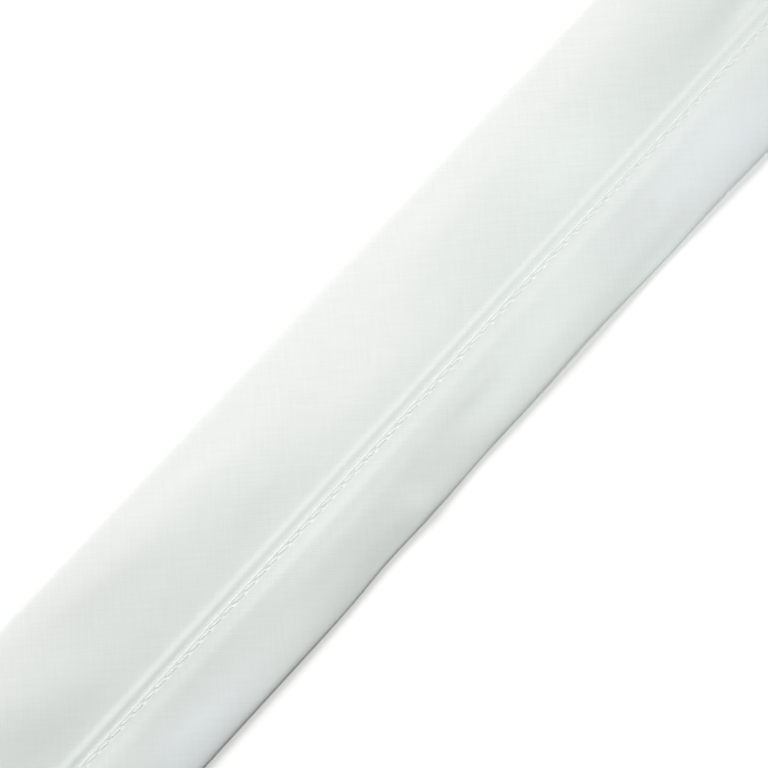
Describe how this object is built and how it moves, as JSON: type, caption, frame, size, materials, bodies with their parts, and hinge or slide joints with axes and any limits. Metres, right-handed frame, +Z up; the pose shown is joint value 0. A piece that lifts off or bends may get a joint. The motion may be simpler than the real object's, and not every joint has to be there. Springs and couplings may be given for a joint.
{
  "type": "cut length of waistband tape",
  "caption": "Flat cut length of white waistband tape: a wide and a narrow folded strip of bias-cut cloth, lapped and edge-stitched beside a slim rib.",
  "frame": {"origin": "on the surface that the tape lies on, under the middle of its outline", "axes": "+X along the tape, +Y across it towards the fold of the wide upper panel, +Z up out of its face"},
  "size_m": [0.3, 0.045, 0.0031],
  "materials": {
    "cloth": "matte cool white plain weave, cut on the bias",
    "thread": "slightly glossy white sewing thread"
  },
  "bodies": {
    "root": {"upper_panel": "cloth", "lower_panel": "cloth"}
  },
  "joints": []
}
